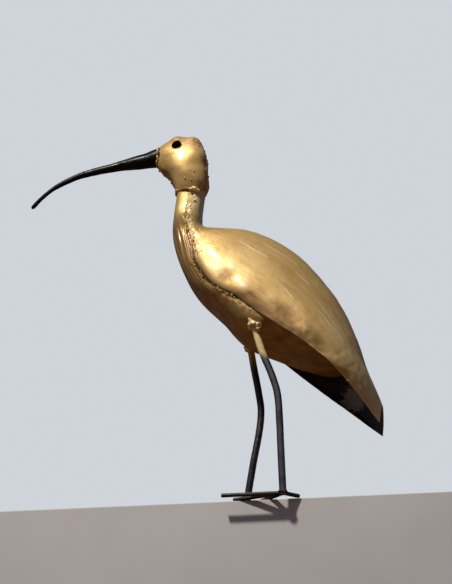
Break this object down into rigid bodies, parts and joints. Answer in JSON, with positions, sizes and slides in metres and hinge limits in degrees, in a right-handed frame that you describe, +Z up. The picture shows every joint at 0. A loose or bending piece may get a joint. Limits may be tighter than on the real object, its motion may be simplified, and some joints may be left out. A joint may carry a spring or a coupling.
{
  "type": "metal ibis figure",
  "caption": "Standing ibis figure of bent and welded sheet metal, with a long down-curved bill, a folded wing back open underneath at the tail, and bar legs ending in toe rods.",
  "frame": {"origin": "centre of the figure's bounding box, at the height of the toes' flat undersides", "axes": "+Z up; -X is the way the bill points; +Y is the bird's right hand side, where its more forward-set leg stands"},
  "size_m": [0.517, 0.1914, 0.5794],
  "materials": {
    "gold_paint": "satin metallic gold paint over hammered sheet",
    "black_paint": "glossy black paint"
  },
  "bodies": {
    "root": {"bill": "black_paint", "head": "gold_paint", "neck": "gold_paint", "back_shell": "gold_paint", "belly_shell": "gold_paint", "leg_left": "black_paint", "leg_right": "black_paint", "weld_left": "gold_paint", "weld_right": "gold_paint", "toe_left_1": "black_paint", "toe_left_2": "black_paint", "toe_left_3": "black_paint", "toe_left_4": "black_paint", "toe_right_1": "black_paint", "toe_right_2": "black_paint", "toe_right_3": "black_paint", "toe_right_4": "black_paint"}
  },
  "joints": []
}
